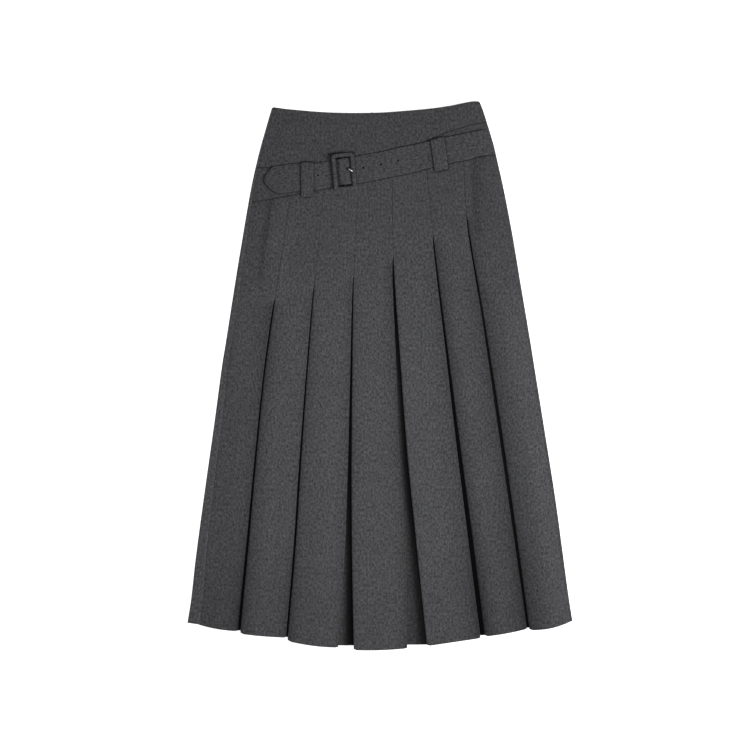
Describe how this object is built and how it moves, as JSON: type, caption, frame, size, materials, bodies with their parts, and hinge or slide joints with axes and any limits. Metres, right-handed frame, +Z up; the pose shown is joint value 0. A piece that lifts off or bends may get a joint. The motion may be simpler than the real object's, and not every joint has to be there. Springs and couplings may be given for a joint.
{
  "type": "maxi skirt",
  "caption": "Long A-line wool flannel skirt laid flat, pleats sewn down to a slanting line, slanting hip band, own belt with covered buckle, belt loops and back zip.",
  "frame": {"origin": "on the surface that the skirt lies on, under the middle of its outline", "axes": "+Z up off the surface and out of the skirt's front, +Y towards the waist, +X towards the wearer's left side, which is on the right seen from above"},
  "size_m": [0.6747, 0.9601, 0.0194],
  "materials": {
    "flannel": "charcoal melange wool flannel, soft brushed twill with pale and dark flecks",
    "flannel_belt": "the same charcoal flannel, doubled and stiffened, edges pressed",
    "prong_metal": "bright nickel-plated steel",
    "zip": "black invisible zip, woven tape and coated slider"
  },
  "bodies": {
    "root": {"back_left": "flannel", "back_right": "flannel", "front_yoke": "flannel", "front_hip_band": "flannel", "front_pleated_panel": "flannel", "belt_strap": "flannel_belt", "belt_loop_left_hip": "flannel_belt", "belt_loop_right_hip": "flannel_belt", "buckle_frame": "flannel_belt", "buckle_tab": "flannel_belt", "buckle_prong": "prong_metal", "back_zip_tape": "zip", "back_zip_slider": "zip"}
  },
  "joints": []
}
